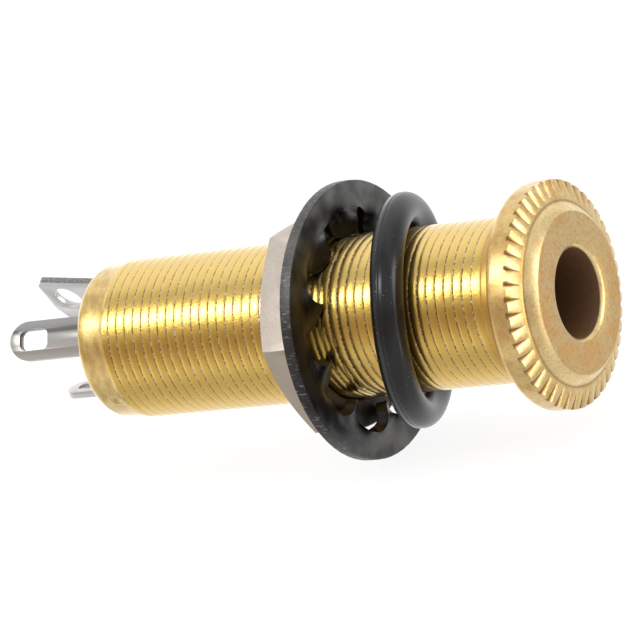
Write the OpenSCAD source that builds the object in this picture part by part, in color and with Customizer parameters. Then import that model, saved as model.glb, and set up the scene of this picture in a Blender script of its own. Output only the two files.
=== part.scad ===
// Stereo phone jack socket with a long threaded barrel.
// The plug enters a knurled flange at the front. A seal ring, a toothed lock washer and a thin nut ride on
// the thread, and a stack of insulating discs at the rear holds three contacts with solder tags.
// Millimetres. X runs along the barrel and +X leaves the plug hole. The origin is on the axis at the back of
// the flange, where a panel seats. Angles round the axis are counted from +Y towards +Z.

/* [Barrel] */
// Outer diameter of the thread
thread_d = 12; // [11.8:0.1:12.6]
// Length of the barrel behind the flange
barrel_l = 36.95; // [35.8:0.05:40]
// Diameter of the plug hole
bore_d = 6.5; // [6.4:0.05:6.8]
// Length of the plug hole, from the front face
bore_l = 14; // [8:0.5:16]
// Width of the bevel at the mouth of the plug hole
mouth_bevel = 0.25; // [0.1:0.05:0.4]
// Diameter of the cavity round the contact blades
cavity_d = 8.8; // [8.6:0.1:9.2]
// Diameter of the counterbore that takes the insulating discs
stack_d = 9.8; // [9.6:0.1:10]
// Diameter of the plain rim at the rear end
rim_d = 11.6; // [11.2:0.1:11.7]
// Length of the plain rim
rim_l = 2.45; // [2:0.05:3]
// Radius of the rim's rear edge
rim_round = 0.6; // [0.3:0.05:0.8]

/* [Flange] */
// Largest diameter of the flange
flange_d = 16.4; // [15.8:0.1:18]
// Thickness of the flange, from its seat to its front face
flange_t = 3.15; // [2.8:0.05:4]
// Radius of the flange's rear edge
flange_round = 0.5; // [0.2:0.05:0.7]
// Diameter of the flat front face
face_d = 11.6; // [10:0.1:12]
// Diameter of the raised boss at its foot
boss_d = 12.85; // [12.2:0.05:13.4]
// Height of the raised boss
boss_h = 0.8; // [0.4:0.05:1]
// Diameter of the flat ledge round the boss
ledge_d = 14.05; // [13.5:0.05:14.6]
// Length of the knurled cone along the axis
knurl_l = 0.4; // [0.3:0.01:0.8]
// Number of notches in the knurl
knurl_count = 46; // [30:1:60]
// Depth of a notch at the outer edge of the knurl
knurl_depth = 0.22; // [0.1:0.01:0.3]
// Angle between the two sides of a notch
knurl_angle = 98; // [60:1:110]

/* [Seal ring] */
// Distance of the ring's middle behind the flange seat
ring_back = 10.73; // [8:0.01:10.8]
// Thickness of the ring's round section
ring_section = 2.4; // [1.8:0.05:2.6]
// Angle at which the ring sits askew on the barrel
ring_skew = 18; // [0:1:20]
// Direction of the side that sits furthest forward
ring_lead = 157; // [0:1:359]

/* [Lock washer] */
// Distance of the washer's front face behind the flange seat
washer_back = 14.8; // [14.7:0.05:16]
// Outer diameter of the washer
washer_d = 20.5; // [20:0.1:24]
// Thickness of the sheet
washer_t = 1; // [0.6:0.05:1.1]
// Diameter at the bottom of the gaps between the teeth
gap_d = 16.3; // [15.8:0.1:17]
// Number of inner teeth
tooth_count = 10; // [8:1:11]
// Width of a tooth at its tip
tooth_tip_w = 1.9; // [1.5:0.05:2.1]
// Width of a tooth at its root
tooth_root_w = 2.5; // [2.2:0.05:2.8]
// Twist of the teeth out of the washer's plane
tooth_twist = 22; // [10:1:26]
// Direction of the first tooth
tooth_at = 10; // [0:1:35]

/* [Nut] */
// Width across the nut's flats
nut_af = 14.8; // [14:0.1:17]
// Thickness of the nut
nut_t = 3.15; // [2:0.05:4]
// Direction of the first flat
nut_at = 24; // [0:1:59]

/* [Contacts] */
// Thickness of the contact strip
strip_t = 0.5; // [0.3:0.05:0.55]
// Distance from the axis to the middle of the strips
strip_r = 3.6; // [3.55:0.01:3.7]
// Width of the springy blades
blade_w = 2.4; // [2:0.1:2.8]
// Distance from the front face to the nose that meets the plug's tip
tip_nose = 27; // [25:0.1:27.4]
// Distance from the axis to that nose
tip_nose_r = 2.35; // [2:0.05:2.6]
// Distance from the front face to the nose that meets the plug's ring
ring_nose = 22; // [20:0.1:23]
// Distance from the axis to that nose
ring_nose_r = 2.95; // [2.9:0.01:3.1]
// Width of the tip contact's tag
tip_tag_w = 4.6; // [3:0.1:4.8]
// Length of the tip contact's tag behind the discs
tip_tag_l = 10.9; // [8:0.1:12]
// Angle at which the tip contact's tag leans outwards
tip_tag_lean = 8; // [0:1:9]
// Diameter of the eye in the tip contact's tag
tip_eye_d = 2.3; // [1.5:0.1:2.4]
// Width of the ring contact's tag
ring_tag_w = 3; // [2.6:0.1:3.4]
// Length of the ring contact's tag behind the discs
ring_tag_l = 9.75; // [7:0.05:11]
// Width of the sleeve contact's tag
sleeve_tag_w = 2.5; // [2.2:0.1:3.2]
// Length of the sleeve contact's tag behind the discs
sleeve_tag_l = 8.15; // [6.5:0.05:11]
// Length of the slot in a round-ended tag
tag_slot_l = 2.6; // [1.8:0.1:3]
// Width of metal left beside that slot
tag_side_w = 0.72; // [0.5:0.02:0.8]

/* [Insulating discs] */
// Thickness of the front disc
front_disc_t = 1.6; // [1.2:0.1:2]
// Thickness of the middle disc
middle_disc_t = 1.6; // [1.2:0.1:2]
// Thickness of the rear disc
rear_disc_t = 2.35; // [1.8:0.05:2.6]
// Depth of the rear disc inside the rim
disc_recess = 2.3; // [2:0.05:2.8]

/* [Fits] */
// Radial clearance of the nut on the thread
nut_clear = 0.05; // [0.02:0.01:0.1]
// Radial clearance of the seal ring on the thread
ring_clear = 0.2; // [0.1:0.05:0.3]
// Radial clearance of the washer's teeth on the thread
tooth_clear = 0.35; // [0.1:0.05:0.5]
// Clearance round the discs and round the strips in their slots
disc_clear = 0.05; // [0.02:0.01:0.1]

/* [Hidden] */
$fn = 96;
brass = [0.83, 0.66, 0.27];
black = [0.11, 0.11, 0.11];
nickel = [0.75, 0.72, 0.69];
tin = [0.66, 0.66, 0.65];
phenolic = [0.27, 0.16, 0.10];
over = 1; // how far a cutter reaches past what it cuts

// The barrel's own measures
thread_r = thread_d / 2;
bore_r = bore_d / 2;
cavity_r = cavity_d / 2;
stack_r = stack_d / 2;
rim_r = rim_d / 2;
flange_r = flange_d / 2;
ledge_r = ledge_d / 2;
bore_end = flange_t - bore_l;
knurl_front = flange_t - boss_h;
knurl_back = knurl_front - knurl_l;
boss_bulge = 0.12; // how far the boss's rounded side stands out of a straight cone
arc_steps = 6;

// The disc stack, from the rear face forward
rear_face = disc_recess - barrel_l;
rear_joint = rear_face + rear_disc_t;
front_joint = rear_joint + middle_disc_t;
shoulder = front_joint + front_disc_t;
contact_angles = [30, 150, 270]; // tip, ring and sleeve
stake_angles = [30, 210]; // opposite each other
stake_r = 0.7;
stake_depth = 0.15;
stake_lift = 0.25; // how far the stake's bulge is centred outside the counterbore
edge_bevel = 0.2; // the small bevels of discs and thread ends
// The bulge of a stake bears on the bevel of the rear disc's edge
stake_x = rear_face + edge_bevel + stake_lift + disc_clear - stake_r * sqrt(2);

// The seal ring, the washer and the nut
ring_path_r = thread_r + ring_clear + ring_section / 2;
ring_sides = 12;
ring_steps = 64;
washer_mid = -washer_back - washer_t / 2;
tooth_tip_r = thread_r + tooth_clear;
washer_drop = tooth_clear; // the washer hangs on its uppermost teeth
gap_r = gap_d / 2;
tooth_embed = 0.3; // how far a tooth's root reaches into the washer's rim
tooth_fillet = 0.55; // radius of the rounded gap bottoms
tooth_steps = 9;
nut_bore_r = thread_r + nut_clear;
nut_front = washer_mid - tooth_reach();
nut_chamfer = 25; // only the rear corners are cut, so the front is a full hexagon
nut_land = 0.96; // diameter of the nut's round rear face as a share of its width across flats

// The contacts
ear_w = 0.25; // how far an ear stands out on each side of its strip
ear_l = 0.8; // length of an ear, half of it in each of two discs
foot_w = 6; // width of the sleeve contact's foot on the shoulder
nose_flat = 0.5; // half length of a blade's nose
nose_ramp = 1.9; // length of the slope from the strip to the nose
nose_tail = 1.2; // length of the turned-out end in front of the nose
nose_lift = 0.6; // how far the turned-out end rises from the nose
eye_back = 2.15; // from the end of the tip tag to the middle of its eye
eye_side = 0.3; // how far the eye lies off the tag's middle
tip_snip = [0.6, 0.55]; // the corner cut off the tip tag on one side, along and across
tip_cut = [0.6, 1.25]; // the larger corner cut off on its other side
slot_back = 0.9; // from the end of a round-ended tag to its slot
slot_round = 0.5; // corner radius of that slot

// A polyline of even steps from p to q that bulges to its right by b
function bulged(p, q, b, n) = [for (i = [0 : n])
    let (t = i / n, d = q - p) p + d * t + [d[1], -d[0]] / norm(d) * (4 * b * t * (1 - t))];

// Points of an arc in the profile plane
function arc(c, r, a0, a1, n) = [for (i = [0 : n])
    let (a = a0 + (a1 - a0) * i / n) c + r * [cos(a), sin(a)]];

// A strip of thickness t along a polyline, as a closed outline with mitred corners
function unit(v) = v / norm(v);
function left_of(v) = [-v[1], v[0]];
function mitre(p, i, t) =
    let (n = len(p),
         a = left_of(unit(p[max(i, 1)] - p[max(i, 1) - 1])),
         b = left_of(unit(p[min(i, n - 2) + 1] - p[min(i, n - 2)])),
         m = unit(a + b))
    p[i] + m * t / 2 / (m * a);
function ribbon(p, t) = concat([for (i = [0 : len(p) - 1]) mitre(p, i, t)],
                               [for (i = [len(p) - 1 : -1 : 0]) mitre(p, i, -t)]);

// Triangles over a row of rings of points, closed into a loop or capped at both ends
function loft_faces(rings, sides, loop) = concat(
    [for (i = [0 : rings - (loop ? 1 : 2)], j = [0 : sides - 1], half = [0, 1])
        let (i2 = (i + 1) % rings, j2 = (j + 1) % sides,
             a = i * sides + j, b = i * sides + j2, c = i2 * sides + j2, d = i2 * sides + j)
        half == 0 ? [a, b, c] : [a, c, d]],
    loop ? [] : [[for (j = [sides - 1 : -1 : 0]) j], [for (j = [0 : sides - 1]) (rings - 1) * sides + j]]);

// Turns a shape drawn with its axis up so that the axis lies along X
module along_x() { rotate([0, 90, 0]) children(); }

// Turns a shape drawn above the axis, at +Z, to an angle round the axis
module at_angle(a) { rotate([a - 90, 0, 0]) children(); }

// A solid of revolution from points of distance along X and radius
module turned(points) { along_x() rotate_extrude() polygon([for (p = points) [p[1], p[0]]]); }

module barrel() {
    color(brass) difference() {
        union() {
            turned(barrel_profile());
            for (a = stake_angles) at_angle(a) translate([stake_x, 0, stack_r + stake_lift]) sphere(stake_r);
        }
        for (a = stake_angles)
            at_angle(a) translate([stake_x, 0, rim_r + stake_r - stake_depth]) sphere(stake_r);
        for (i = [0 : knurl_count - 1]) at_angle(360 / knurl_count * (i + 0.55)) knurl_notch();
    }
}

function barrel_profile() = concat(
    [[flange_t, bore_r + mouth_bevel]],
    bulged([flange_t, face_d / 2], [knurl_front, boss_d / 2], boss_bulge, arc_steps),
    [[knurl_front, ledge_r], [knurl_back, flange_r]],
    arc([flange_round, flange_r - flange_round], flange_round, 90, 180, arc_steps),
    [[0, thread_r], [rim_l - barrel_l + edge_bevel, thread_r], [rim_l - barrel_l, rim_r]],
    arc([rim_round - barrel_l, rim_r - rim_round], rim_round, 90, 180, arc_steps),
    [[-barrel_l, stack_r], [shoulder, stack_r], [shoulder, cavity_r],
     [bore_end - cavity_r + bore_r, cavity_r], [bore_end, bore_r], [flange_t - mouth_bevel, bore_r]]);

// One V notch, with no depth at the inner edge of the knurl and its full depth at the outer edge
module knurl_notch() {
    slope = unit([knurl_back - knurl_front, flange_r - ledge_r]);
    start = [knurl_front, ledge_r];
    stop = [knurl_back, flange_r] - knurl_depth * [slope[1], -slope[0]];
    run = stop - start;
    half = tan(knurl_angle / 2) * over;
    translate([start[0], 0, start[1]]) rotate([0, atan2(run[0], run[1]), 0])
        linear_extrude(norm(run) + over) polygon([[0, 0], [over, half], [over, -half]]);
}

module seal_ring() {
    color(black) translate([-ring_back, 0, 0])
        polyhedron([for (i = [0 : ring_steps - 1]) each ring_circle(i * 360 / ring_steps)],
                   loft_faces(ring_steps, ring_sides, true));
}

// One round section of the seal ring, square to the ring's own skewed path
function ring_circle(a) =
    let (k = tan(ring_skew),
         out = [0, cos(a), sin(a)],
         on = unit([-k * sin(a - ring_lead), -sin(a), cos(a)]),
         up = cross(on, out),
         middle = ring_path_r * (out + [k * cos(a - ring_lead), 0, 0]))
    [for (j = [0 : ring_sides - 1])
        let (b = j * 360 / ring_sides) middle + ring_section / 2 * (out * cos(b) + up * sin(b))];

module lock_washer() {
    color(black) translate([washer_mid, 0, -washer_drop]) union() {
        along_x() difference() {
            cylinder(h = washer_t, d = washer_d, center = true);
            cylinder(h = washer_t + over, r = gap_r, center = true);
        }
        for (i = [0 : tooth_count - 1]) at_angle(tooth_at + i * 360 / tooth_count) washer_tooth();
    }
}

// A tooth runs inwards from the washer's rim and twists out of its plane
module washer_tooth() {
    polyhedron([for (i = [0 : tooth_steps - 1]) each tooth_section(i / (tooth_steps - 1))],
               loft_faces(tooth_steps, 4, false));
}

function tooth_section(u) =
    let (r = gap_r + tooth_embed + (tooth_tip_r - gap_r - tooth_embed) * u,
         a = tooth_turn(r),
         w = tooth_width(r) / 2,
         t = washer_t / 2)
    [for (c = [[w, t], [w, -t], [-w, -t], [-w, t]])
        [c[0] * sin(a) + c[1] * cos(a), c[0] * cos(a) - c[1] * sin(a), r]];

// The twist grows over the outer half of the tooth, and the root widens into the rounded gap bottoms
function tooth_turn(r) = tooth_twist * max(0, min(1, (gap_r - r) / (gap_r - tooth_tip_r) * 2));
function tooth_width(r) =
    let (u = max(0, min(1, (gap_r - r) / (gap_r - tooth_tip_r))),
         f = max(0, tooth_fillet - max(0, gap_r - r)))
    tooth_root_w + (tooth_tip_w - tooth_root_w) * u
        + 2 * (tooth_fillet - sqrt(pow(tooth_fillet, 2) - pow(min(f, tooth_fillet), 2)));

// How far a twisted tooth reaches behind the middle of the washer
function tooth_reach() =
    max([for (i = [0 : tooth_steps - 1], c = tooth_section(i / (tooth_steps - 1))) -c[0]]);

module hex_nut() {
    corner_d = nut_af / cos(30);
    land_r = nut_af * nut_land / 2;
    chamfer_l = (corner_d / 2 - land_r) * tan(nut_chamfer);
    color(nickel) translate([nut_front - nut_t, 0, 0]) difference() {
        intersection() {
            at_angle(nut_at + 30) along_x() rotate(180) cylinder(h = nut_t, d = corner_d, $fn = 6);
            turned([[0, 0], [0, land_r], [chamfer_l, corner_d / 2], [nut_t, corner_d / 2], [nut_t, 0]]);
        }
        turned([[-over, 0], [-over, nut_bore_r + edge_bevel + over], [edge_bevel, nut_bore_r],
                [nut_t - edge_bevel, nut_bore_r], [nut_t + over, nut_bore_r + edge_bevel + over],
                [nut_t + over, 0]]);
    }
}

// A bent strip: its side view, as a polyline of X and radius, cut to its outline seen from outside
module strip(side) {
    intersection() {
        rotate([90, 0, 0]) linear_extrude(2 * stack_r, center = true) polygon(ribbon(side, strip_t));
        linear_extrude(2 * stack_r) children();
    }
}

// A straight stretch of a strip's outline
module stretch(x0, x1, w) { translate([x1, -w / 2]) square([x0 - x1, w]); }

// The blade's side view, from its turned-out end over the nose to the straight strip
function blade(nose_x, nose_r) = [
    [nose_x + nose_flat + nose_tail, nose_r + strip_t / 2 + nose_lift],
    [nose_x + nose_flat, nose_r + strip_t / 2],
    [nose_x - nose_flat, nose_r + strip_t / 2],
    [nose_x - nose_flat - nose_ramp, strip_r]];

// The outline of a round-ended tag of width w and length l, with a slot for the wire
module round_tag_outline(w, l) {
    tag_end = rear_face - l;
    difference() {
        union() {
            stretch(rear_face, tag_end + w / 2, w);
            translate([tag_end + w / 2, 0]) circle(d = w);
        }
        tag_slot(tag_end + slot_back, w - 2 * tag_side_w);
    }
}

module tag_slot(x, w) {
    stretch(x + tag_slot_l, x, w - 2 * slot_round);
    stretch(x + tag_slot_l - slot_round, x + slot_round, w);
    for (dx = [slot_round, tag_slot_l - slot_round], s = [-1, 1])
        translate([x + dx, s * (w / 2 - slot_round)]) circle(slot_round);
}

// A tube about the barrel's axis, from the rear face back over a length l
module tag_tube(l) {
    translate([rear_face - l, 0, 0]) along_x() difference() {
        cylinder(h = l, r = strip_r + strip_t / 2);
        translate([0, 0, -over]) cylinder(h = l + 2 * over, r = strip_r - strip_t / 2);
    }
}

module tip_contact() {
    nose_x = flange_t - tip_nose;
    tag_end = rear_face - tip_tag_l * cos(tip_tag_lean);
    side = concat(blade(nose_x, tip_nose_r),
                  [[rear_face, strip_r], [tag_end, strip_r + tip_tag_l * sin(tip_tag_lean)]]);
    color(tin) at_angle(contact_angles[0]) strip(side) {
        stretch(nose_x + nose_flat + nose_tail + over, front_joint, blade_w);
        stretch(front_joint + ear_l / 2, front_joint - ear_l / 2, tip_tag_w + 2 * ear_w);
        difference() {
            tip_tag_outline(front_joint, tag_end);
            translate([tag_end + eye_back, -eye_side]) circle(d = tip_eye_d);
        }
    }
}

// The flat tag's outline, with a small corner cut off on one side and a larger one on the other
module tip_tag_outline(x0, x1) {
    w = tip_tag_w / 2;
    polygon([[x0, -w], [x0, w], [x1 + tip_cut[0], w], [x1, w - tip_cut[1]], [x1, tip_snip[1] - w],
             [x1 + tip_snip[0], -w]]);
}

module ring_contact() {
    nose_x = flange_t - ring_nose;
    side = concat(blade(nose_x, ring_nose_r), [[rear_face, strip_r]]);
    color(tin) at_angle(contact_angles[1]) union() {
        strip(side) {
            stretch(nose_x + nose_flat + nose_tail + over, rear_joint, blade_w);
            stretch(rear_joint + ear_l / 2, rear_joint - ear_l / 2, ring_tag_w + 2 * ear_w);
            stretch(rear_joint, rear_face, ring_tag_w);
        }
        // The tag behind the discs is curved about the barrel's axis
        intersection() {
            tag_tube(ring_tag_l);
            linear_extrude(2 * stack_r) round_tag_outline(ring_tag_w, ring_tag_l);
        }
    }
}

module sleeve_contact() {
    foot_r = stack_r - disc_clear;
    side = [[shoulder - strip_t / 2, foot_r + over], [shoulder - strip_t / 2, strip_r],
            [rear_face - sleeve_tag_l, strip_r]];
    color(tin) at_angle(contact_angles[2]) intersection() {
        strip(side) {
            stretch(shoulder, shoulder - strip_t, foot_w);
            stretch(shoulder, rear_face, sleeve_tag_w);
            round_tag_outline(sleeve_tag_w, sleeve_tag_l);
        }
        translate([rear_face - sleeve_tag_l, 0, 0]) along_x()
            cylinder(h = shoulder - rear_face + sleeve_tag_l, r = foot_r);
    }
}

// A plain insulating disc between two planes, with a small bevel on its rear edge
module disc(x0, x1) {
    r = stack_r - disc_clear;
    turned([[x0, 0], [x0, r], [x1 + edge_bevel, r], [x1, r - edge_bevel], [x1, 0]]);
}

// The slot that a strip of width w needs between two planes, and the pocket for the ears of a strip
module strip_slot(a, x0, x1, w) {
    at_angle(a) translate([x1, -w / 2 - disc_clear, strip_r - strip_t / 2 - disc_clear])
        cube([x0 - x1, w + 2 * disc_clear, strip_t + 2 * disc_clear]);
}

module ear_pocket(a, joint, w) {
    strip_slot(a, joint + ear_l / 2 + disc_clear, joint - ear_l / 2 - disc_clear, w + 2 * ear_w);
}

module front_disc() {
    color(phenolic) difference() {
        disc(shoulder, front_joint);
        strip_slot(contact_angles[0], shoulder + over, front_joint - over, blade_w);
        ear_pocket(contact_angles[0], front_joint, tip_tag_w);
        strip_slot(contact_angles[1], shoulder + over, front_joint - over, blade_w);
        strip_slot(contact_angles[2], shoulder + over, front_joint - over, sleeve_tag_w);
        at_angle(contact_angles[2])
            translate([shoulder - strip_t, -foot_w / 2 - disc_clear, strip_r - strip_t / 2 - disc_clear])
            cube([strip_t + over, foot_w + 2 * disc_clear, stack_r]);
    }
}

module middle_disc() {
    color(phenolic) difference() {
        disc(front_joint, rear_joint);
        strip_slot(contact_angles[0], front_joint + over, rear_joint - over, tip_tag_w);
        ear_pocket(contact_angles[0], front_joint, tip_tag_w);
        strip_slot(contact_angles[1], front_joint + over, rear_joint - over, blade_w);
        ear_pocket(contact_angles[1], rear_joint, ring_tag_w);
        strip_slot(contact_angles[2], front_joint + over, rear_joint - over, sleeve_tag_w);
    }
}

module rear_disc() {
    color(phenolic) difference() {
        disc(rear_joint, rear_face);
        strip_slot(contact_angles[0], rear_joint + over, rear_face - over, tip_tag_w);
        strip_slot(contact_angles[1], rear_joint + over, rear_face - over, ring_tag_w);
        ear_pocket(contact_angles[1], rear_joint, ring_tag_w);
        strip_slot(contact_angles[2], rear_joint + over, rear_face - over, sleeve_tag_w);
    }
}

barrel();
seal_ring();
lock_washer();
hex_nut();
sleeve_contact();
front_disc();
tip_contact();
middle_disc();
ring_contact();
rear_disc();
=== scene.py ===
# %% [markdown]
# A phone jack socket is a long threaded barrel that takes a headphone or guitar plug at one end
# and has solder tags at the other. A rubber ring, a toothed washer and a thin nut ride on its
# thread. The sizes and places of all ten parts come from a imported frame. The lesson models the
# detail that the frame leaves plain, and then the finishes.

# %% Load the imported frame
import math

import bmesh
import bpy
from mathutils import Matrix, Vector, noise


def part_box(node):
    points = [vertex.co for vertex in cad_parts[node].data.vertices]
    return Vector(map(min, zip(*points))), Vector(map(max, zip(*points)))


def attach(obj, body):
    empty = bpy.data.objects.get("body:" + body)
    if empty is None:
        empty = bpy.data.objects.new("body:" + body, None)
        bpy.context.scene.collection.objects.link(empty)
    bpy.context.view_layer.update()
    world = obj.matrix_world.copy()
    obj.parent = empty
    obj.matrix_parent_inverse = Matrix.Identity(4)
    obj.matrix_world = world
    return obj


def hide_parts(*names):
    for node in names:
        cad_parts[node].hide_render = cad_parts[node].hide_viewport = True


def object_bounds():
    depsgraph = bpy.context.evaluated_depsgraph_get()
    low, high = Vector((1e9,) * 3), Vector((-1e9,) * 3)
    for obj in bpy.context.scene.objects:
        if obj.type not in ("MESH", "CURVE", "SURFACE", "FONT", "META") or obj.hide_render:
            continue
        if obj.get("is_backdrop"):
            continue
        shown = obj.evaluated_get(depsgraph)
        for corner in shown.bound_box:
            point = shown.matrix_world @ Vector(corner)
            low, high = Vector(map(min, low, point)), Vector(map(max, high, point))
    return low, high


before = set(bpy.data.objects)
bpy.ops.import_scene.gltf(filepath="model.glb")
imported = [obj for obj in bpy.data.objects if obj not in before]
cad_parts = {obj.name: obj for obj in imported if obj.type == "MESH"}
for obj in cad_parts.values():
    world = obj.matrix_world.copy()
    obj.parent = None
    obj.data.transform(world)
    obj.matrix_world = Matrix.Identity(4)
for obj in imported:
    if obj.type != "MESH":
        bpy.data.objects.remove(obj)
cad_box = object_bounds()
MM = 0.001


def in_mm(lengths):
    """Lengths in metres as rounded millimetres, for printing."""
    return [round(v / MM, 2) for v in lengths]


print("frame from", in_mm(cad_box[0]), "to", in_mm(cad_box[1]))

# %% [markdown]
# The photograph was taken with a long lens from above, at the front right of the barrel, with the
# camera a little rolled. A camera's matrix holds its right, up and backward directions as columns,
# so two directions and a place are enough to set it, with no angles to go wrong.

# %% Camera
CAMERA_PLACE = (0.15908, -0.26028, 0.08953)
CAMERA_LENS = 251.4
camera_right = Vector((0.83530, 0.47688, -0.27367)).normalized()
camera_up = Vector((0.0870, 0.37676, 0.92218))
camera_up = (camera_up - camera_right * camera_up.dot(camera_right)).normalized()
camera_axes = Matrix((camera_right, camera_up, camera_right.cross(camera_up))).transposed()

bpy.ops.object.select_all(action="DESELECT")
bpy.ops.object.camera_add()
camera = bpy.context.object
camera.name = "camera"
camera.matrix_world = Matrix.Translation(CAMERA_PLACE) @ camera_axes.to_4x4()
camera.data.lens = CAMERA_LENS
camera.data.sensor_width = 36.0
camera.data.clip_start = 0.005
bpy.context.scene.camera = camera
print("camera at", [round(v, 4) for v in camera.location], "lens", camera.data.lens)

# %% [markdown]
# Finishes and light are both made of nodes. Written node by node they are hard to read, so one
# small class wraps an output socket and turns ordinary arithmetic into Math nodes. Any other node
# comes from one method that takes its type, its settings and its sockets.

# %% Shader maths in plain expressions
class Wire:
    """An output socket. Arithmetic on it adds Math nodes to the tree in hand."""

    tree = None

    def __init__(self, socket):
        self.socket = socket

    @classmethod
    def node(cls, kind, settings=None, inputs=None, out=0):
        """Adds a node: its type, then its settings, then its sockets' values or links."""
        made = cls.tree.nodes.new(kind)
        for name, value in (settings or {}).items():
            if name == "stops":
                stops = made.color_ramp.elements
                stops.remove(stops[1])
                stops[0].position, stops[0].color = value[0][0], (*value[0][1], 1)
                for where, colour in value[1:]:
                    stops.new(where).color = (*colour, 1)
            else:
                setattr(made, name, value)
        for name, value in (inputs or {}).items():
            if isinstance(value, Wire):
                cls.tree.links.new(value.socket, made.inputs[name])
            else:
                made.inputs[name].default_value = value
        return cls(made.outputs[out])

    def out(self, index):
        """Another output of the same node."""
        return Wire(self.socket.node.outputs[index])

    def math(self, operation, *others):
        """A Math node on this wire and others."""
        return Wire.node("ShaderNodeMath", {"operation": operation}, dict(enumerate((self, *others))))

    def __add__(self, other):
        return self.math("ADD", other)

    def __sub__(self, other):
        return self.math("SUBTRACT", other)

    def __mul__(self, other):
        return self.math("MULTIPLY", other)

    def __truediv__(self, other):
        return self.math("DIVIDE", other)

    def __rsub__(self, other):
        return Wire.node("ShaderNodeMath", {"operation": "SUBTRACT"}, {0: other, 1: self})

    __radd__ = __add__
    __rmul__ = __mul__


def smooth(value, low, high):
    """0 below low, 1 above high, with a soft ramp between."""
    return Wire.node("ShaderNodeMapRange", {"interpolation_type": "SMOOTHSTEP"},
                     {"Value": value, "From Min": low, "From Max": high})


def mix(amount, first, second):
    """One colour fading into another: 6, 7 and 2 are the colour sockets of a Mix node."""
    return Wire.node("ShaderNodeMix", {"data_type": "RGBA"}, {0: amount, 6: first, 7: second}, out=2)


def split(vector):
    """The x, y and z of a vector."""
    parts = Wire.node("ShaderNodeSeparateXYZ", inputs={0: vector})
    return parts, parts.out(1), parts.out(2)


def tint(red, green, blue):
    """A colour as a paint chart gives it, 0 to 255, in the linear values that nodes take."""
    linear = []
    for v in (red, green, blue):
        share = v / 255
        linear.append(share / 12.92 if v < 11 else ((share + 0.055) / 1.055) ** 2.4)
    return tuple(linear)


def paint(red, green, blue):
    """The same with its alpha, as a colour socket takes it."""
    return (*tint(red, green, blue), 1.0)


print("brass as linear values:", [round(v, 3) for v in tint(212, 175, 95)])

# %% [markdown]
# Polished metal has hardly any colour of its own: it shows the room. Here the room is a pale
# studio, darkest and a little warm straight in front, where the photographer stands. Seen along
# the barrel, only the angle around the barrel counts, so the walls are a ramp on that angle.
# Three more terms shade the wall at the right, set a lamp opposite the plug hole and lighten the
# left. Only the camera sees a plain pale backdrop instead.

# %% Studio room
room = bpy.data.worlds.new("studio_room")
bpy.context.scene.world = room
room.use_nodes = True
room.node_tree.nodes.clear()
Wire.tree = room.node_tree

rightwards, backwards, upwards = split(Wire.node("ShaderNodeTexCoord"))
around = upwards.math("ARCTAN2", backwards * -1)


def grey(level, warm=0.0):
    """A wall's colour, from pure grey to a warmer one."""
    return (level, level * (1 - 0.8 * warm), level * (1 - 1.3 * warm))


room_ramp = [(-180, grey(0.98)), (-120, grey(0.88)), (-100, grey(0.84)), (-78, grey(0.62)),
             (-54, grey(0.50)), (-32, grey(0.66)), (-14, grey(0.49, 0.12)), (2, grey(0.34, 0.22)),
             (16, grey(0.34, 0.20)), (30, grey(0.62)), (62, grey(0.66)), (76, grey(0.52)),
             (92, grey(0.88)), (114, grey(1.0)), (180, grey(1.0))]
walls = Wire.node("ShaderNodeValToRGB", {"stops": [(a / 360 + 0.5, c) for a, c in room_ramp]},
                  {0: around / (2 * math.pi) + 0.5})
right = smooth(rightwards, 0.15, 0.6)
shaded = 1 + 0.15 * right - 0.55 * right * smooth(backwards, -0.3, 0.5)
end_lamp = smooth(rightwards, 0.78, 0.93) * smooth(backwards, -0.25, 0.1)
end_lamp = end_lamp * smooth(upwards, -0.6, -0.36)
level = smooth(upwards, -0.7, -0.5) * (1 - smooth(upwards, 0.1, 0.4))
left = smooth(rightwards * -1, 0.44, 0.54) * level
shaded = shaded + 3.8 * end_lamp + 0.5 * left
lit_walls = Wire.node("ShaderNodeBackground", inputs={"Color": walls, "Strength": shaded})
backdrop = Wire.node("ShaderNodeBackground", inputs={"Color": (0.97, 0.97, 0.97, 1), "Strength": 1.0})
seen = Wire.node("ShaderNodeLightPath")
both = Wire.node("ShaderNodeMixShader", inputs={0: seen, 1: lit_walls, 2: backdrop})
room_output = room.node_tree.nodes.new("ShaderNodeOutputWorld")
room.node_tree.links.new(both.socket, room_output.inputs["Surface"])
bpy.context.scene.view_settings.view_transform = "Standard"
print("room has", len(room.node_tree.nodes), "nodes")

# %% [markdown]
# The floor only has to be a plain pale sheet. It glows by itself, so it stays pale and takes only
# faint shadows. It is hidden from reflections, because a white sheet right under polished brass
# would wash out its lower half. A wide lamp above lights everything evenly, and a smaller one at
# the front left gives the metal its bright line.

# %% Floor and lamps
def softbox(name, place, tilt, size, power, glossy):
    """A rectangular lamp with its long side along the barrel, tilted up from facing straight down."""
    bpy.ops.object.light_add(type="AREA", location=place)
    lamp = bpy.context.object
    lamp.name = name
    lamp.data.shape = "RECTANGLE"
    lamp.data.size, lamp.data.size_y = size
    lamp.data.energy = power
    lamp.rotation_euler = (math.radians(tilt), 0, 0)
    lamp.visible_glossy = glossy


def lay(finish, **sockets):
    """Sets or links the sockets of a finish's shader; an underscore stands for a space."""
    shader = finish.node_tree.nodes["Principled BSDF"]
    for name, value in sockets.items():
        socket = shader.inputs[name.replace("_", " ")]
        if isinstance(value, Wire):
            finish.node_tree.links.new(value.socket, socket)
        else:
            socket.default_value = value


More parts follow.
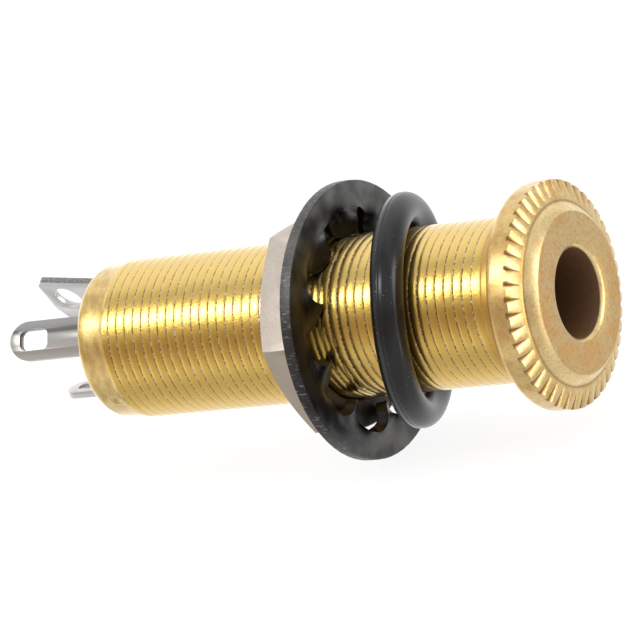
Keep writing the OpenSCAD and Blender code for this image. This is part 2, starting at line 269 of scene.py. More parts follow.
FLOOR_GAP = 0.02
floor_z = cad_box[0].z - FLOOR_GAP * MM
bpy.ops.mesh.primitive_plane_add(size=8.0, location=(0, 0, floor_z))
floor = bpy.context.object
floor.name = "floor"
floor.visible_glossy = False
floor.visible_shadow = False
floor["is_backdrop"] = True
softbox("lamp_above", (0, 0, 0.9), 0, (1.4, 1.4), 9.0, False)
softbox("lamp_front_left", (-0.27, -0.41, 0.425), 44, (0.40, 0.15), 1.2, True)

paper = bpy.data.materials.new("floor_paper")
paper.use_nodes = True
lay(paper, Base_Color=(0.12, 0.12, 0.12, 1), Roughness=0.9, Specular_IOR_Level=0.0,
    Emission_Color=(1, 1, 1, 1), Emission_Strength=0.90)
floor.data.materials.append(paper)
print("floor at", round(floor_z / MM, 2), "mm")

# %% [markdown]
# By hand, one goes in and out of edit mode, picks parts of a mesh by where they are, merges
# doubled vertices and applies modifiers. These helpers do the same, so that the steps below read
# like the steps of a hand.

# %% Editing helpers
WELD = 2e-6


def let_go():
    """Back to object mode with nothing selected."""
    if bpy.context.mode != "OBJECT":
        bpy.ops.object.mode_set(mode="OBJECT")
    bpy.ops.object.select_all(action="DESELECT")


def take(piece):
    """The piece alone is selected and active."""
    let_go()
    piece.select_set(True)
    bpy.context.view_layer.objects.active = piece


def edit(piece, kind="VERT"):
    """The piece in edit mode, with all of it selected."""
    take(piece)
    bpy.ops.object.mode_set(mode="EDIT")
    bpy.ops.mesh.select_mode(type=kind)
    bpy.ops.mesh.select_all(action="SELECT")


def pick(piece, kind, test):
    """In edit mode, selects the parts whose middle passes the test, in millimetres."""
    bm = bmesh.from_edit_mesh(piece.data)
    bpy.ops.mesh.select_all(action="DESELECT")
    count = 0
    for part in getattr(bm, kind):
        if kind == "verts":
            middle = part.co
        elif kind == "edges":
            middle = (part.verts[0].co + part.verts[1].co) / 2
        else:
            middle = part.calc_center_median()
        if test(middle / MM):
            part.select_set(True)
            count += 1
    bmesh.update_edit_mesh(piece.data)
    return count


def weld(piece, outwards=False):
    """Merges doubled vertices, and on a closed piece turns its faces outwards."""
    edit(piece)
    bpy.ops.mesh.remove_doubles(threshold=WELD)
    if outwards:
        bpy.ops.mesh.normals_make_consistent(inside=False)
    let_go()


def apply(piece, kind, **settings):
    """Adds a modifier with its settings and applies it."""
    take(piece)
    modifier = piece.modifiers.new(kind.lower(), kind)
    for name, value in settings.items():
        setattr(modifier, name, value)
    bpy.ops.object.modifier_apply(modifier=modifier.name)


def shade(piece, degrees):
    """Smooth shading, where only edges beyond the angle stay crisp."""
    take(piece)
    bpy.ops.object.shade_smooth_by_angle(angle=math.radians(degrees))


print("editing helpers ready")

# %% [markdown]
# Everything turned on a lathe starts the same way: one point is drawn along half a profile, and
# the profile is spun about the barrel's axis. Lengths are in millimetres here, as (x, radius).

# %% Lathe helpers
STEPS_ROUND = 184


def start_point(name, x, r):
    """A new piece of one vertex: a small plane, merged at its middle."""
    let_go()
    bpy.ops.mesh.primitive_plane_add(size=MM, location=(x * MM, 0, r * MM))
    piece = bpy.context.object
    piece.name = piece.data.name = name
    bpy.ops.object.transform_apply(location=True, rotation=True, scale=True)
    edit(piece)
    bpy.ops.mesh.merge(type="CENTER")
    return piece


def draw(points):
    """Extrudes the selected vertex along a half profile."""
    for (x0, r0), (x1, r1) in zip(points, points[1:]):
        bpy.ops.mesh.extrude_vertices_move(
            TRANSFORM_OT_translate={"value": ((x1 - x0) * MM, 0, (r1 - r0) * MM)})


def spin(steps, angle=2 * math.pi, copies=False):
    """Turns all of the piece in hand about the barrel's axis."""
    bpy.ops.mesh.select_all(action="SELECT")
    bpy.ops.mesh.spin(steps=steps, angle=angle, dupli=copies, center=(0, 0, 0), axis=(1, 0, 0))


def turned(name, points, steps=STEPS_ROUND, closed=False):
    """A lathe piece from a half profile."""
    piece = start_point(name, *points[0])
    draw(points)
    spin(steps)
    weld(piece, outwards=closed)
    return piece


def arc(x, r, size, start, end, count=6):
    """Points of a round edge, with angles in degrees from +X towards growing radius."""
    angles = [math.radians(start + (end - start) * i / (count - 1)) for i in range(count)]
    return [(x + size * math.cos(a), r + size * math.sin(a)) for a in angles]


def reach(place):
    """Distance from the barrel's axis."""
    return math.hypot(place.y, place.z)


def to_radius(vertex, r):
    """Moves a vertex straight in or out."""
    vertex.co.yz = vertex.co.yz * (r / reach(vertex.co / MM))


print("lathe helpers ready,", STEPS_ROUND, "steps to a turn")

# %% [markdown]
# The flange is knurled: 46 short wedges are pressed into its sloping front edge. One wedge and the
# slice of flange around it are modelled once, as a profile spun through four narrow steps. Moving
# one vertex back along the rim and closing two at the ledge opens the wedge. The slice is then
# spun as 45 further copies and welded.

# %% Knurled flange
NOTCHES = STEPS_ROUND // 4
STEP = 2 * math.pi / STEPS_ROUND
NOTCH_DEPTH, NOTCH_CLOSING = 0.232, 0.8
CREST_R, BORE_R, BORE_END = 6.0, 3.25, -10.85
NECK_X, RIM_R, LEDGE_R, LEDGE_X, KNURL_X, FACE_X = -1.0, 8.2, 7.025, 2.35, 1.95, 3.15

back = [(NECK_X, CREST_R), (-0.6, CREST_R), (-0.16, CREST_R), (-0.05, 6.05), (0, 6.16), (0, 6.7),
        (0, 7.2)] + arc(0.7, 7.5, 0.7, 128, 90)
knurl = [(1.1, RIM_R), (1.5, RIM_R), (KNURL_X, RIM_R), (LEDGE_X, LEDGE_R), (LEDGE_X, 6.76)]
boss = [(LEDGE_X + 0.8 * t + 0.15 * t * (1 - t), 6.60 - 0.80 * t + 0.19 * t * (1 - t))
        for t in (0, 0.12, 0.3, 0.5, 0.7, 0.88)]
mouth = [(FACE_X, 5.8), (FACE_X, 5.6), (FACE_X, 4.6), (FACE_X, 3.56), (3.13, 3.50), (2.93, 3.28),
         (2.86, BORE_R), (0.5, BORE_R), (BORE_END, BORE_R)]
flange_profile = back + knurl + boss + mouth
barrel = start_point("turned_barrel", *flange_profile[0])
draw(flange_profile)
spin(4, 4 * STEP)


def column(place):
    """Which of the slice's steps a vertex is on, from 0 to 4."""
    return round(abs(math.atan2(place.z, place.y) - math.pi / 2) / STEP)


def at(place, x, r):
    """Whether a place lies on the profile's point (x, r)."""
    return abs(place.x - x) < 0.01 and abs(reach(place) - r) < 0.01


notch_tips = pick(barrel, "verts", lambda p: column(p) == 2 and at(p, KNURL_X, RIM_R))
bpy.ops.transform.translate(value=(-NOTCH_DEPTH * MM, 0, 0))
bm = bmesh.from_edit_mesh(barrel.data)
for v in bm.verts:
    if at(v.co / MM, LEDGE_X, LEDGE_R) and column(v.co) in (1, 3):
        a = math.atan2(v.co.z, v.co.y) - math.pi / 2
        notch_middle = math.copysign(2 * STEP, a)
        v.co.rotate(Matrix.Rotation((notch_middle - a) * NOTCH_CLOSING, 3, "X"))
bmesh.update_edit_mesh(barrel.data)
spin(NOTCHES - 1, 2 * math.pi * (NOTCHES - 1) / NOTCHES, copies=True)
weld(barrel)
print("flange has", len(barrel.data.polygons), "faces and", notch_tips, "notch tip in its slice")

# %% [markdown]
# The thread is fine: 0.75 mm from crest to crest, with wide, gently rounded crests and narrow
# grooves, as a rolled thread has. One pitch of its profile goes round in a Screw modifier, which
# repeats it 46 times along the barrel. A negative turn makes it right-handed. The crests' edges
# are roughened a little, the groove fades out close to the flange, and the extra at both ends is
# cut off.

# %% Thread
PITCH, TURNS = 0.75, 46
THREAD_START, THREAD_FRONT, THREAD_BACK = -0.25, -1.05, -34.5
RUN_OUT_X, RUN_OUT_L = -1.15, 1.3
PLAIN_R = 5.8
EDGE_TREMOR, EDGE_GRAIN = 0.005, 1900
groove_profile = [(0.00, -0.080), (0.08, -0.060), (0.19, -0.036), (0.31, -0.018), (0.43, -0.009),
                  (0.55, -0.010), (0.60, -0.10), (0.66, -0.115), (0.75, -0.080)]
thread = start_point("thread", THREAD_START, CREST_R + groove_profile[0][1])
draw([(THREAD_START - s, CREST_R + d) for s, d in groove_profile])
apply(thread, "SCREW", axis="X", angle=-2 * math.pi, screw_offset=-PITCH * MM, iterations=TURNS,
      steps=STEPS_ROUND, render_steps=STEPS_ROUND, use_merge_vertices=True, merge_threshold=WELD)

for v in thread.data.vertices:
    x, r = v.co.x / MM, reach(v.co / MM)
    if 5.91 < r < 5.985:
        r += EDGE_TREMOR * noise.noise(v.co * EDGE_GRAIN)
    r = CREST_R + (r - CREST_R) * min(1, max(0, (RUN_OUT_X - x) / RUN_OUT_L))
    to_radius(v, min(r, PLAIN_R + max(0, x - THREAD_BACK)))
edit(thread)
for x, side in ((THREAD_FRONT, 1), (THREAD_BACK, -1)):
    bpy.ops.mesh.select_all(action="SELECT")
    bpy.ops.mesh.bisect(plane_co=(x * MM, 0, 0), plane_no=(side, 0, 0), clear_outer=True,
                        threshold=1e-8)
let_go()
print("thread has", len(thread.data.polygons), "faces")

# %% [markdown]
# Behind the thread the barrel ends in a plain rim with a rounded edge. Inside, a counterbore holds
# the stack of insulating discs, and a chamber leaves room for the contact blades. All of that is
# one more lathe profile. The three parts are joined, welded where they share an edge loop, and
# bridged where the thread's cut ends meet the plain loops.

# %% Rear rim, chamber and one closed barrel
RIM_START = THREAD_BACK - 0.05
STACK_R, CHAMBER_R, SHOULDER_X = 4.9, 4.4, -29.1
KNURL_TURN = 0.55
rim_profile = ([(x, PLAIN_R) for x in (RIM_START, -34.8, -35.2, -35.6, -36.0)]
               + arc(-36.35, 5.2, 0.6, 90, 180, 8)
               + [(-36.95, 5.08), (-36.88, 4.95), (-36.78, STACK_R), (-34.0, STACK_R),
                  (SHOULDER_X, STACK_R), (SHOULDER_X, CHAMBER_R), (-12.0, CHAMBER_R),
                  (BORE_END, BORE_R)])
rear = turned("rear_rim", rim_profile)
take(barrel)
thread.select_set(True)
rear.select_set(True)
bpy.ops.object.join()
weld(barrel)
edit(barrel, "EDGE")
for loops in ((NECK_X, THREAD_FRONT), (THREAD_BACK, RIM_START)):
    bpy.ops.mesh.select_all(action="DESELECT")
    found = 0
    bm = bmesh.from_edit_mesh(barrel.data)
    for e in bm.edges:
        if e.is_boundary and min(abs(e.verts[0].co.x / MM - x) for x in loops) < 0.02:
            e.select_set(True)
            found += 1
    bmesh.update_edit_mesh(barrel.data)
    bpy.ops.mesh.bridge_edge_loops()
    print("bridged", found, "edges at", loops)
weld(barrel, outwards=True)
barrel.data.transform(Matrix.Rotation(KNURL_TURN * 2 * math.pi / NOTCHES, 4, "X"))

# %% [markdown]
# Two punch marks on the rim hold the discs in: the metal is pressed inwards by a round punch. The
# faces there are subdivided, and each vertex that the punch would reach is moved onto its ball,
# with a faint raised lip around it.

# %% Punch marks
PUNCH_X, PUNCH_R, PUNCH_DEPTH = -35.14, 0.7, 0.15
LIP_H, LIP_W = 0.025, 0.08
dent = math.sqrt(PUNCH_R ** 2 - (PUNCH_R - PUNCH_DEPTH) ** 2)
for degrees in (30, 210):
    outward = Vector((0, math.cos(math.radians(degrees)), math.sin(math.radians(degrees))))
    centre = Vector((PUNCH_X, 0, 0)) + outward * PLAIN_R
    edit(barrel, "FACE")
    near = pick(barrel, "faces",
                lambda p: (p - centre).length < 0.95 and reach(p) > 5.7 and p.x < -34.6)
    bpy.ops.mesh.subdivide(number_cuts=3)
    let_go()
    for v in barrel.data.vertices:
        offset = v.co / MM - centre
        if offset.length > 1 or reach(v.co / MM) < 5.6:
            continue
        away = (offset - outward * offset.dot(outward)).length
        if away < dent:
            r = PLAIN_R + PUNCH_R - PUNCH_DEPTH - math.sqrt(PUNCH_R ** 2 - away ** 2)
        else:
            r = PLAIN_R + LIP_H * math.exp(-((away - dent - LIP_W) / LIP_W) ** 2)
        to_radius(v, r)
    print("punch mark at", degrees, "degrees, from", near, "faces")
shade(barrel, 34)
print("barrel has", sum(len(p.vertices) - 2 for p in barrel.data.polygons), "triangles")

# %% [markdown]
# The rubber ring is round in section and sits askew, pushed along the thread by hand. A torus gives
# its section and a skewed path moves each slice of it. A moulded ring shows where its mould halves
# met, so the outermost edge loop is bevelled and its middle pressed in a hair.

# %% Rubber ring
RING_R, RING_SECTION, RING_X = 7.4, 1.2, -10.73
RING_SKEW, RING_LEAD = math.tan(math.radians(18)), math.radians(157)
SEAM_W, SEAM_DEPTH = 0.12, 0.04
let_go()
bpy.ops.mesh.primitive_torus_add(major_radius=RING_R * MM, minor_radius=RING_SECTION * MM,
                                 major_segments=144, minor_segments=36, rotation=(0, math.pi / 2, 0))
ring = bpy.context.object
ring.name = ring.data.name = "rubber_ring"
bpy.ops.object.transform_apply(location=True, rotation=True, scale=True)
edit(ring, "EDGE")
seam = pick(ring, "edges", lambda p: reach(p) > RING_R + RING_SECTION - 0.01 and abs(p.x) < 0.01)
bpy.ops.mesh.bevel(offset=SEAM_W * MM, segments=4, profile=0.5)
pick(ring, "verts", lambda p: reach(p) > RING_R + 1 and abs(p.x) < SEAM_W / 2)
bpy.ops.transform.shrink_fatten(value=-SEAM_DEPTH * MM)
let_go()
for v in ring.data.vertices:
    a = math.atan2(v.co.z, v.co.y)
    outward = Vector((0, math.cos(a), math.sin(a)))
    along = Vector((-RING_SKEW * math.sin(a - RING_LEAD), -math.sin(a), math.cos(a))).normalized()
    offset = Vector((v.co.x / MM, reach(v.co / MM) - RING_R))
    centre = Vector((RING_X + RING_R * RING_SKEW * math.cos(a - RING_LEAD), 0, 0)) + outward * RING_R
    v.co = (centre + outward * offset.y - along.cross(outward) * offset.x) * MM
weld(ring, outwards=True)
shade(ring, 40)
ring_low = [min(v.co[i] for v in ring.data.vertices) for i in range(3)]
print("rubber ring:", seam, "seam edges, from", in_mm(ring_low))

# %% [markdown]
# The lock washer is stamped from spring steel: a flat rim with ten inner teeth, each twisted so
# that its edges bite. A tooth is widest at its root, where fillets lead into the rim, and its tip
# has rounded corners. The twist is full at the tip and fades out in the rim and between teeth.

# %% Tooth outline
TEETH, TIP_R, GAP_R, WASHER_R = 10, 6.385, 8.15, 10.247
ROOT_HALF, TAPER, FILLET, TIP_ROUND, TIP_L = 1.31, 0.30, 0.85, 0.42, 0.5
TWIST, TWIST_END_R, TWIST_L, FLANK = math.radians(29), 8.9, 1.9, 0.17
HALF_STEP = math.pi / TEETH


def tooth_half(r):
    """Half the width of a tooth, with the rounded bottoms of the gaps and the tip's corners."""
    t = min(1, max(0, (GAP_R - r) / (GAP_R - TIP_R)))
    f = min(FILLET, max(0, FILLET - max(0, GAP_R - r)))
    tip = TIP_ROUND * max(0, 1 - (r - TIP_R) / TIP_L) ** 2
    return ROOT_HALF - TAPER * t + FILLET - math.sqrt(FILLET ** 2 - f ** 2) - tip


def ease(t):
    """0 below 0, 1 above 1, with a soft ramp between."""
    t = min(1, max(0, t))
    return t * t * (3 - 2 * t)


def twist_at(r, a):
    """The twist at a radius and at an angle from the tooth's middle."""
    between = ease((abs(a) - FLANK) / (HALF_STEP - FLANK))
    return TWIST * ease((TWIST_END_R - r) / TWIST_L) * (1 - between)


print("tooth is", round(2 * tooth_half(TIP_R), 2), "mm wide at its tip and",
      round(2 * tooth_half(GAP_R), 2), "mm at its root")

# %% [markdown]
# One tenth of the washer is a grid, laid out along and across one tooth. The grid loses the faces
# in the gaps, takes the tooth's outline and twist, and is spun as nine copies. Only then does it
# get its thickness and its rolled edges.

# %% Toothed washer
WASHER_T, WASHER_EDGE, WASHER_FORWARD, WASHER_TURN = 0.82, 0.13, 0.045, 11.5 - 90
rows = [TIP_R, 6.45, 6.6, 6.85, 7.1, 7.35, 7.6, 7.7, 7.8, 7.9, 7.99, 8.07, 8.13, GAP_R,
        8.3, 8.5, 8.7, 8.9, 9.3, WASHER_R]
across = [-1, -0.66, -0.33, 0, 0.33, 0.66, 1]
last_row, last_column = len(rows) - 1, len(across) + 1


def in_gap(p):
    """Whether a face of the flat grid lies in a gap, beside the tooth."""
    row = int((p.y * MM + 1) / 2 * last_row)
    return abs(p.x * MM) > 1 - 2 / last_column and rows[row] < GAP_R


let_go()
bpy.ops.mesh.primitive_grid_add(x_subdivisions=last_column, y_subdivisions=last_row, size=2)
washer = bpy.context.object
washer.name = washer.data.name = "toothed_washer"
edit(washer, "FACE")
gaps = pick(washer, "faces", in_gap)
bpy.ops.mesh.delete(type="FACE")
let_go()
for v in washer.data.vertices:
    i = round((v.co.x + 1) / 2 * last_column)
    r = rows[round((v.co.y + 1) / 2 * last_row)]
    if 0 < i < last_column:
        a = across[i - 1] * math.asin(tooth_half(min(r, GAP_R)) / min(r, GAP_R))
    else:
        a = math.copysign(HALF_STEP, i - 1)
    turn = twist_at(r, a)
    beside = r * math.sin(a) * math.cos(turn)
    outward = math.sqrt(r * r - beside * beside)
    v.co = Vector((r * math.sin(a) * math.sin(turn), beside, outward)) * MM
edit(washer)
spin(TEETH - 1, 2 * math.pi * (TEETH - 1) / TEETH, copies=True)
weld(washer, outwards=True)
apply(washer, "SOLIDIFY", thickness=WASHER_T * MM, offset=0, use_even_offset=True)
apply(washer, "BEVEL", width=WASHER_EDGE * MM, segments=3, limit_method="ANGLE",
      angle_limit=math.radians(50))
washer_low, washer_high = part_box("lock_washer")
washer_middle = (washer_low + washer_high) / 2 + Vector((WASHER_FORWARD * MM, 0, 0))
washer.data.transform(Matrix.Translation(washer_middle)
                      @ Matrix.Rotation(math.radians(WASHER_TURN), 4, "X"))
shade(washer, 40)
washer_ends = [end(v.co.x for v in washer.data.vertices) for end in (min, max)]
print("washer:", gaps, "grid faces cut for the gaps,", len(washer.data.polygons), "faces, from",
      in_mm(washer_ends), "in a frame of", in_mm((washer_low.x, washer_high.x)))

# %% [markdown]
# The nut is thin, with six flats and chamfered rear corners. A six-sided cylinder gives the flats.
# The chamfer is what a lathe leaves when it faces a hexagon bar, so the hexagon is cut to a turned
# shape with a cone at its rear end. A thin round collar goes on its front, which shows through a
# gap of the washer, and then the nut is bored.

# %% Thin nut
nut_low, nut_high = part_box("hex_nut")
NUT_BACK, NUT_FRONT = nut_low.x / MM, nut_high.x / MM
FLATS, NUT_BORE, COLLAR_R, COLLAR_T, NUT_TURN = 14.8, 6.05, 8.2, 0.45, math.radians(54)
CORNER_R, LAND_R = FLATS / 2 / math.cos(math.pi / 6), FLATS * 0.96 / 2
CONE_L = (CORNER_R - LAND_R) * math.tan(math.radians(25))
HEX_FRONT, CLEAR_R = NUT_FRONT - 0.08, CORNER_R + 0.05
let_go()
bpy.ops.mesh.primitive_cylinder_add(vertices=6, radius=CORNER_R * MM,
                                    depth=(NUT_FRONT - NUT_BACK + 1) * MM,
                                    location=((NUT_BACK + NUT_FRONT) / 2 * MM, 0, 0),
                                    rotation=(0, math.pi / 2, 0))
nut = bpy.context.object
nut.name = nut.data.name = "thin_nut"
bpy.ops.object.transform_apply(location=True, rotation=True, scale=True)
corner = max(nut.data.vertices, key=lambda v: v.co.x).co
nut.data.transform(Matrix.Rotation(NUT_TURN - math.atan2(corner.z, corner.y), 4, "X"))

lathe = [(NUT_BACK, 0.0), (NUT_BACK, LAND_R - 0.05), (NUT_BACK + 0.03, LAND_R),
         (NUT_BACK + CONE_L + 0.03, CLEAR_R), (HEX_FRONT, CLEAR_R), (HEX_FRONT, 0.0)]
collar = [(NUT_FRONT - COLLAR_T, 0.0), (NUT_FRONT - COLLAR_T, COLLAR_R),
          (NUT_FRONT - 0.1, COLLAR_R), (NUT_FRONT, COLLAR_R - 0.1), (NUT_FRONT, 0.0)]
drill = [(NUT_BACK - 0.1, 0.0), (NUT_BACK - 0.1, NUT_BORE + 0.3), (NUT_BACK + 0.2, NUT_BORE),
         (NUT_FRONT - 0.2, NUT_BORE), (NUT_FRONT + 0.1, NUT_BORE + 0.3), (NUT_FRONT + 0.1, 0.0)]
for profile, operation in ((lathe, "INTERSECT"), (collar, "UNION"), (drill, "DIFFERENCE")):
    tool = turned("nut_tool", profile, 96, closed=True)
    apply(nut, "BOOLEAN", object=tool, operation=operation, solver="EXACT")
    bpy.data.objects.remove(tool)
apply(nut, "BEVEL", width=0.05 * MM, segments=2, limit_method="ANGLE", angle_limit=math.radians(22))
shade(nut, 30)
print("nut from", round(NUT_BACK, 2), "to", round(NUT_FRONT, 2), "mm,", len(nut.data.polygons), "faces")

# %% [markdown]
# The three contacts are bent from tinned strip, and the frame already has every bend, eye and slot.
# What it lacks is the softness of a stamped edge. A copy of each mesh is welded, its flat triangles
# are dissolved into clean faces, and a narrow bevel rounds its edges.

# %% Contacts
contacts = {}
for node, name in (("tip_contact", "tip_blade"), ("ring_contact", "ring_blade"),
                   ("sleeve_contact", "sleeve_foot")):
    piece = bpy.data.objects.new(name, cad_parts[node].data.copy())
    piece.data.name = name
    bpy.context.scene.collection.objects.link(piece)
    edit(piece)
    bpy.ops.mesh.remove_doubles(threshold=1e-6)
    bpy.ops.mesh.dissolve_limited(angle_limit=math.radians(1.5))
    apply(piece, "BEVEL", width=0.06 * MM, segments=2, limit_method="ANGLE",
          angle_limit=math.radians(35))
    shade(piece, 30)
    contacts[node] = piece
    print(name, "has", len(piece.data.polygons), "faces")

# %% [markdown]
# Finishes come next. All of them read Object coordinates, so a pattern stays on its piece from any
# side. A few helpers give the things that every finish needs: where the surface is, a soft step
# between two places, noise of a given grain in millimetres, and a bump.

# %% Finish helpers
def start_finish(name):
    """A new finish, and the wire that tells where on the piece the surface is."""
    finish = bpy.data.materials.new(name)
    finish.use_nodes = True
    Wire.tree = finish.node_tree
    return finish, Wire.node("ShaderNodeTexCoord", out=3)


def zone(value, low, high):
    """A soft step between two places in millimetres."""
    return smooth(value, low * MM, high * MM)


def grain(where, size, detail=2.0, stretch=None):
    """Noise with lumps of a size in millimetres, longer along an axis whose stretch is below 1."""
    if stretch:
        where = Wire.node("ShaderNodeVectorMath", {"operation": "MULTIPLY"}, {0: where, 1: stretch})
    return Wire.node("ShaderNodeTexNoise",
                     inputs={"Vector": where, "Scale": 1 / (size * MM), "Detail": detail})


def bump(height, depth, under=None):
    """A bump of a depth in millimetres, on top of another one if there is one."""
    sockets = {"Height": height, "Distance": depth * MM}
    if under:
        sockets["Normal"] = under
    return Wire.node("ShaderNodeBump", inputs=sockets)


print("finish helpers ready")

# %% [markdown]
# The barrel has one finish, which differs from place to place, so the places come first: each is a
# wire that is 1 there and 0 elsewhere. The finish finds the groove of the thread by itself: along a
# screw, the place within one pitch is the distance along the axis less the share of a turn. The
# notches of the knurl are found in the same way from the turn alone.

# %% Places on the barrel
GROOVE_X = 1.645  # how far behind the flange a groove crosses the top
GROOVE_AT = GROOVE_X / PITCH + 0.25 + KNURL_TURN / NOTCHES + 0.5
gold, here = start_finish("gold_plated_brass")
x, y, z = split(here)
radius = (y * y + z * z).math("SQRT")
angle = z.math("ARCTAN2", y)

bright = zone(x, -34.6, -34.3) * (1 - zone(x, -0.9, -0.3)) * zone(radius, 5.6, 5.7)
on_thread = bright * (1 - zone(x, -2.1, -1.2))
neck = bright - on_thread
front = zone(x, -1.0, 0)
on_face = zone(x, 3.1, 3.14)
on_boss = zone(x, 2.3, 2.5) * (1 - on_face)
boss_foot_shade = (1 - zone((radius - 6.64 * MM).math("ABSOLUTE"), 0.04, 0.14)) * zone(x, 2.3, 2.34)
on_rim = 1 - zone(x, -34.6, -34.4)
inside = (1 - zone(radius, 4.6, 4.95)) * (1 - zone(x, 2.85, 3.0))

phase = (x / (PITCH * MM) - angle / (2 * math.pi) + GROOVE_AT).math("FRACT")
groove = (1 - smooth((phase - 0.5).math("ABSOLUTE"), 0.06, 0.14)) * on_thread
notch_turn = (angle * (NOTCHES / (2 * math.pi)) - (KNURL_TURN - 0.5)).math("FRACT")
notch_width = (radius - LEDGE_R * MM) * (0.19 / ((RIM_R - LEDGE_R) * MM))
on_knurl = zone(radius, 7.05, 7.2) * zone(x, 1.6, 1.75)
notch = (1 - smooth((notch_turn - 0.5).math("ABSOLUTE") - notch_width, -0.09, 0.05)) * on_knurl
print("places on the barrel take", len(gold.node_tree.nodes), "nodes")

# %% [markdown]
# The barrel is brass with a thin gold plate. The rolled crests of the thread are bright, the flange
# is satin and mottled, and the rear rim is brushed. Painted shade darkens the grooves, the notches of
# the knurl, the foot of the boss and the bore, and painted glints speckle the grooves. The top of the
# thread and the boss are painted paler as painted highlight. A clear coat gives the thread its wet
# look.

# %% Gold plated brass
mottle = smooth(grain(here, 1.1, 5.0), 0.45, 0.7)
stain = smooth(grain(here, 2.2, 4.0), 0.42, 0.64)
pits = smooth(grain(here, 0.22, 8.0), 0.44, 0.66)
brushed = smooth(grain(here, 0.5, 6.0, (1, 0.5, 0.5)), 0.35, 0.7)
broken = smooth(grain(here, 0.12), 0.42, 0.6)
painted_glints = smooth(grain(here, 0.14, 0.0), 0.54, 0.62) * groove

# painted highlight: the boss is painted a paler cream, with less mottle
satin = mix(on_boss, paint(240, 208, 138), paint(250, 222, 160))
satin = mix(mottle * (0.7 * front - 0.4 * on_boss), satin, paint(218, 172, 98))
satin = mix(on_face * 0.8, satin, paint(202, 172, 118))
satin = mix(stain * (0.2 * front + 0.55 * on_face), satin, paint(212, 160, 88))
satin = mix(pits * (0.25 * front + 0.2 * on_face), satin, paint(176, 130, 68))
# painted shade in the crease at the foot of the boss
satin = mix(boss_foot_shade * 0.45, satin, paint(118, 98, 48))
satin = mix(on_rim * 0.85, satin, mix(brushed, paint(246, 214, 132), paint(212, 170, 88)))
crests = mix(grain(here, 4.0), paint(250, 206, 94), paint(244, 199, 86))
# painted highlight: the top of the thread is painted paler
crests = mix(zone(z, 2.6, 5.4) * 0.6, crests, paint(250, 216, 128))
plate = mix(bright, satin, crests)
plate = mix(neck * 0.8, plate, paint(206, 158, 78))
# painted shade in the notches of the knurl
plate = mix(notch * 0.85, plate, paint(116, 72, 30))
# painted shade in the thread's grooves, broken up by noise
plate = mix(groove * (0.55 + 0.4 * broken), plate, paint(98, 62, 24))
# painted glints along the grooves
plate = mix(painted_glints * 0.8, plate, paint(255, 238, 200))
# painted shade inside the bore: dark brown, less metallic and rougher
plate = mix(inside * 0.95, plate, paint(92, 60, 40))

rough = 0.28 - 0.07 * bright + 0.14 * neck + 0.10 * on_face + 0.06 * mottle * (1 - bright)
rough = rough + 0.2 * groove + 0.2 * inside
dimples = bump(grain(here, 0.11, 3.0) * (1 - bright), 0.012)
ripples = bump(grain(here, 0.3), 0.008, dimples)
lay(gold, Base_Color=plate, Metallic=1 - 0.8 * inside, Roughness=rough,
    Coat_Weight=(1 - inside) * (1 - 0.6 * front) * (1 - 0.8 * neck),
    Coat_Roughness=0.18, Coat_IOR=1.6, Normal=bump(grain(here, 0.055, 1.0), 0.006, ripples))
print("gold plate has", len(gold.node_tree.nodes), "nodes")

# %% [markdown]
# The ring is black rubber: satin, slightly grained, with a few specks of dust that a black surface
# always shows.

# %% Black rubber
rubber, here = start_finish("black_rubber")
specks = smooth(grain(here, 0.16, 0.0), 0.79, 0.84)
worn = grain(here, 1.5, 3.0)
black = mix(worn, paint(14, 14, 15), paint(20, 20, 21))
lay(rubber, Base_Color=mix(specks * 0.35, black, paint(150, 150, 148)),
    Roughness=0.17 + 0.10 * worn + 0.2 * specks, Normal=bump(grain(here, 0.09), 0.004))
print("rubber has", len(rubber.node_tree.nodes), "nodes")

# %% [markdown]
# The washer is steel with a black oxide coat: nearly smooth on its faces, and torn where the press
# sheared its outer edge, with bright points where the coat is thin. A painted sheen makes the rim
# paler on the top and the bottom. The washer hangs a little below the axis, so its middle does too.

# %% Black oxide steel
WASHER_DROP = 0.35
oxide, here = start_finish("black_oxide_steel")
_, y, z = split(here)
z = z + WASHER_DROP * MM
radius = (y * y + z * z).math("SQRT")
edge = zone(radius, 10.08, 10.2)
torn = grain(here, 0.22, 3.0, (0.35, 1, 1))
points = smooth(grain(here, 0.16, 2.0, (0.25, 1, 1)), 0.55, 0.75) * edge
patchy = smooth(grain(here, 1.8, 6.0), 0.3, 0.7)
# painted sheen: the rim is painted paler on its top and bottom
pale = (zone(z, 2.5, 8.0) + 0.6 * zone(z * -1, 2.5, 8.0)) * zone(radius, 7.8, 8.7)
coat = mix(patchy, paint(58, 57, 57), paint(76, 75, 74))
coat = mix(pale, coat, mix(patchy, paint(90, 89, 88), paint(120, 119, 117)))
lay(oxide, Base_Color=mix(points * 0.7, coat, paint(165, 165, 165)),
    Metallic=1.0, Roughness=0.26 + 0.14 * patchy + 0.15 * edge,
    Normal=bump(torn * edge, 0.04, bump(grain(here, 0.12), 0.005)))
print("oxide has", len(oxide.node_tree.nodes), "nodes")

# %% [markdown]
# The nut is nickel plated over a tumbled surface, so it is satin with a fine sparkle. Its warm grey
# is the colour of nickel itself. Its front, in the washer's shade, is painted darker as painted shade,
# and its lower flats are painted browner as painted shade.

# %% Satin nickel
nickel, here = start_finish("satin_nickel")
x, _, z = split(here)
sparkle = grain(here, 0.08, 1.0)
haze = grain(here, 1.1, 3.0)
specks = smooth(grain(here, 0.13, 3.0), 0.5, 0.68)
# the nut's front, where painted shade from the washer goes
washer_shade = zone(x, NUT_FRONT - 0.5, NUT_FRONT - 0.44)
clean = mix(haze, paint(213, 203, 192), paint(199, 188, 177))
# painted shade: the lower flats are painted browner
clean = mix((1 - zone(z, 0.7, 1.0)) * 0.7, clean, paint(186, 172, 154))
clean = mix(specks * 0.35, clean, paint(166, 154, 142))
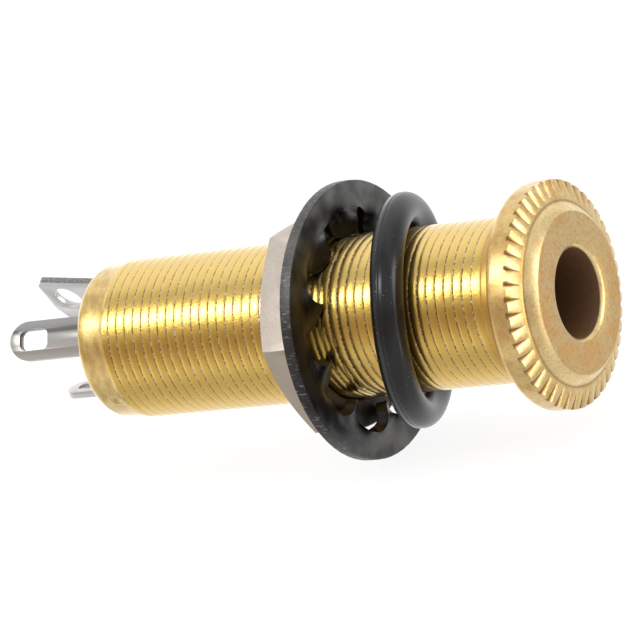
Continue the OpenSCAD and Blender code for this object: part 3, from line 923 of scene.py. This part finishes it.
# painted shade on the nut's front, beside the washer
lay(nickel, Base_Color=mix(washer_shade * 0.85, clean, paint(112, 110, 104)), Metallic=1.0,
    Roughness=0.46 + 0.12 * haze, Normal=bump(sparkle, 0.02, bump(haze, 0.01)))
print("nickel has", len(nickel.node_tree.nodes), "nodes")

# %% [markdown]
# The tags are brass strip with a grey tin plate, which is dull, a little cloudy, and finely lined
# along the strip from rolling. The round-ended tag at the left is painted darker as painted shade,
# with a band of painted shade along its upper half, and the cut edge of the flat tag is darker and
# uneven.

# %% Grey tin
SIN_30, COS_30 = 0.5, 0.866
tin, here = start_finish("grey_tin")
_, y, z = split(here)
lines = grain(here, 0.09, 2.0, (0.06, 1, 1))
cloudy = grain(here, 1.0, 3.0)
side = y * SIN_30 + z * COS_30
left_tag = 1 - zone(y, -1.6, -1.4)
# painted shade: a dark band along the upper half of the left tag
upper = zone(side, 0.3, 0.55) * left_tag
shade_band = upper * (1 - zone(side, 0.75, 0.95))
cut_edge = zone(z * COS_30 - y * SIN_30, 2.2, 2.26) * zone(y, 1.4, 1.6)
uneven = smooth(grain(here, 0.12, 2.0), 0.4, 0.7)
dull = mix(cloudy, paint(224, 223, 221), paint(208, 207, 205))
# painted shade: the left tag is a darker copy of the tin
dull = mix(left_tag * 0.8, dull, paint(186, 183, 178))
dull = mix(cut_edge, dull, mix(uneven, paint(126, 125, 124), paint(176, 175, 174)))
dull = mix(upper, dull, paint(170, 169, 168))
lay(tin, Base_Color=mix(shade_band * 0.8, dull, paint(108, 107, 106)), Metallic=1.0,
    Roughness=0.30 + 0.12 * cloudy, Normal=bump(lines, 0.004, bump(grain(here, 0.1), 0.003)))
print("tin has", len(tin.node_tree.nodes), "nodes")

# %% [markdown]
# The discs are punched from brown laminate: paper layers in resin, matte, with short fibres that
# lie in the plane of the sheet.

# %% Brown laminate
laminate, here = start_finish("brown_laminate")
fibre = grain(here, 0.25, 4.0, (1, 0.4, 1))
layers = grain(here, 0.18, 1.0, (1, 0.02, 0.02))
lay(laminate, Base_Color=mix(fibre, paint(98, 62, 40), paint(134, 90, 58)),
    Roughness=0.5 + 0.2 * fibre, Normal=bump(fibre, 0.01, bump(layers, 0.008)))
print("laminate has", len(laminate.node_tree.nodes), "nodes")

# %% [markdown]
# Now each piece takes its finish, rides on the one body of the frame and stands for the plain node
# that it replaces. The three discs keep their own shapes and only get their finish.

# %% Hand over the pieces
def hand_over(piece, node, finish):
    """Gives a piece its finish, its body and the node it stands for."""
    piece.data.materials.clear()
    piece.data.materials.append(finish)
    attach(piece, "root")
    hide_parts(node)
    print(piece.name, "stands for", node, "with", len(piece.data.polygons), "faces")


let_go()
hand_over(barrel, "barrel", gold)
hand_over(ring, "seal_ring", rubber)
hand_over(washer, "lock_washer", oxide)
hand_over(nut, "hex_nut", nickel)
for node, piece in contacts.items():
    hand_over(piece, node, tin)
for node in ("front_disc", "middle_disc", "rear_disc"):
    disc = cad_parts[node]
    for slot in disc.material_slots:
        slot.material = laminate
    print(node, "keeps its shape")

# %% [markdown]
# Last, the box around the dressed part is measured and printed. It should hardly differ from the box
# of the plain one, because the detail lies within the sizes that the frame gave.

# %% Measure the dressed part
new_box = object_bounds()
print("visual box", in_mm(new_box[0]), in_mm(new_box[1]))
